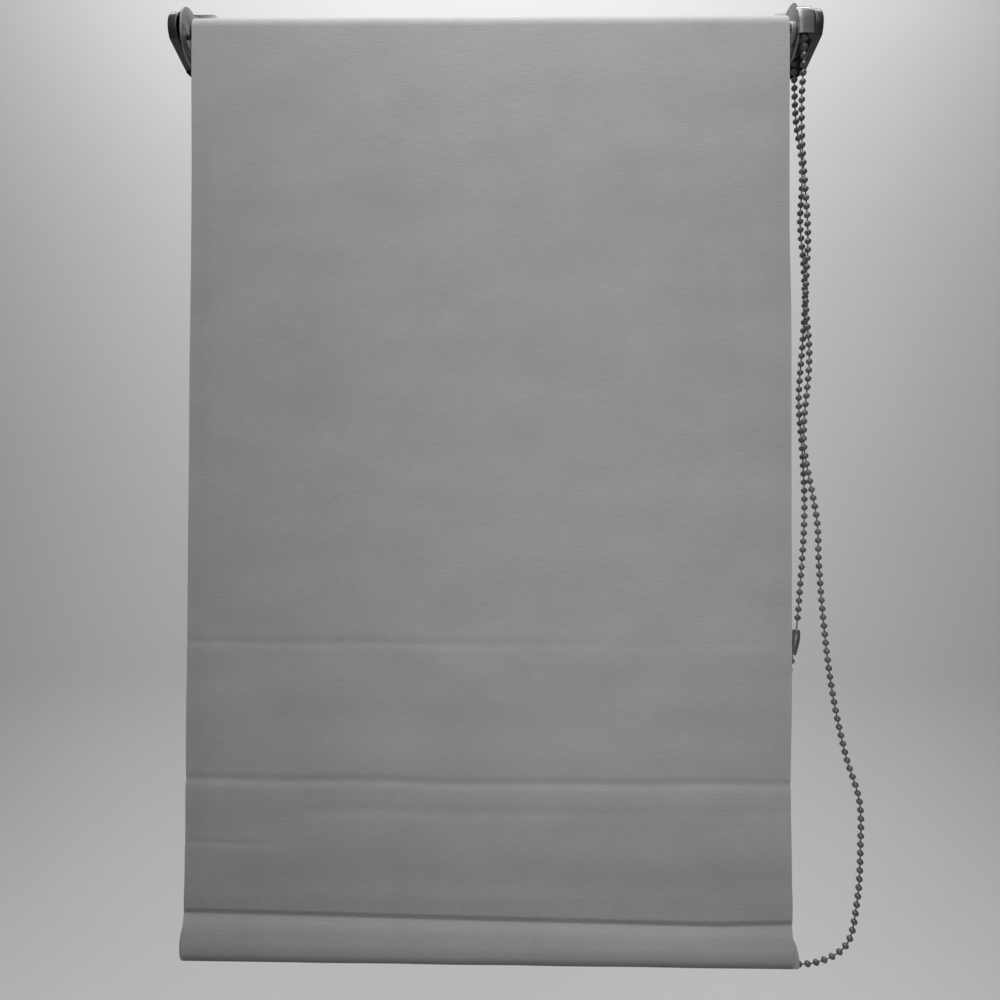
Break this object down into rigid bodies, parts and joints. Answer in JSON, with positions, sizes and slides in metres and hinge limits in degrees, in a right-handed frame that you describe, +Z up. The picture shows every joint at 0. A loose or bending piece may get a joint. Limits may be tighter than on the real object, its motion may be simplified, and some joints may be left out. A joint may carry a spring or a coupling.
{
  "type": "chain-operated roller blind",
  "caption": "Slim roller blind for a window sash: grey cloth over a roller on L brackets, a bead-chain drive at the right and a weighted hem.",
  "frame": {"origin": "middle of the left bracket's adhesive fixing face, on the sash, at the height of the roller's axis", "axes": "+X across the window towards the chain end, +Y into the sash the blind is fixed to, +Z up"},
  "size_m": [0.4854, 0.0312, 0.6805],
  "materials": {
    "foam": "closed-cell adhesive foam, matt",
    "bracket_steel": "zinc-plated sheet steel, satin",
    "dark_cover": "anthracite moulded plastic, semi-matt",
    "grey_housing": "light grey moulded plastic, glossy",
    "black_plastic": "black acetal, satin",
    "screw_steel": "zinc-plated, satin",
    "spring_steel": "drawn spring wire",
    "chain": "grey moulded beads on a cord, satin",
    "blind_cloth": "woven polyester, fine horizontal grain, matt",
    "tube_metal": "extruded, smooth",
    "tape": "double-sided tape",
    "plug_plastic": "grey moulded plastic, glossy",
    "wheel_plastic": "natural acetal, satin",
    "bar_metal": "extruded, mill finish",
    "cap_plastic": "grey moulded plastic, satin"
  },
  "bodies": {
    "fixed": {"left_adhesive_pad": "foam", "right_adhesive_pad": "foam", "left_bracket": "bracket_steel", "right_bracket": "bracket_steel", "left_cover": "dark_cover", "right_cover": "dark_cover", "drive_housing": "grey_housing", "drive_core": "black_plastic", "core_screw": "screw_steel", "retaining_ring": "spring_steel", "wrap_spring_inner": "spring_steel", "wrap_spring_outer": "spring_steel", "bead_chain": "chain", "chain_connector": "chain", "fabric_panel": "blind_cloth"},
    "roller": {"roller_tube": "tube_metal", "fabric_roll": "blind_cloth", "cloth_tape": "tape", "idle_plug": "black_plastic", "idle_spring": "spring_steel", "drive_plug": "plug_plastic", "chain_wheel": "wheel_plastic"},
    "hem": {"hem_pocket": "blind_cloth", "bottom_bar": "bar_metal", "bar_cap_left": "cap_plastic", "bar_cap_right": "cap_plastic"},
    "idle_pin": {"idle_pin": "wheel_plastic"}
  },
  "joints": [
    {"name": "bottom_bar_lift", "type": "slide", "parent": "fixed", "child": "hem", "axis": [0, 0, 1], "range_m": [0, 0.585], "deforming": ["fabric_panel"]},
    {"name": "roller_turn", "type": "hinge", "parent": "fixed", "child": "roller", "pos_m": [0.2, -0.0151, 0], "axis": [-1, 0, 0], "range_deg": [0, 2806]},
    {"name": "idle_pin_press", "type": "slide", "parent": "fixed", "child": "idle_pin", "axis": [1, 0, 0], "range_m": [0, 0.0026], "stiffness_N_per_m": 400, "deforming": ["idle_spring"]}
  ],
  "couplings": [
    {"joint": "roller_turn", "follows": "bottom_bar_lift", "rad_per_m": 83.68}
  ]
}
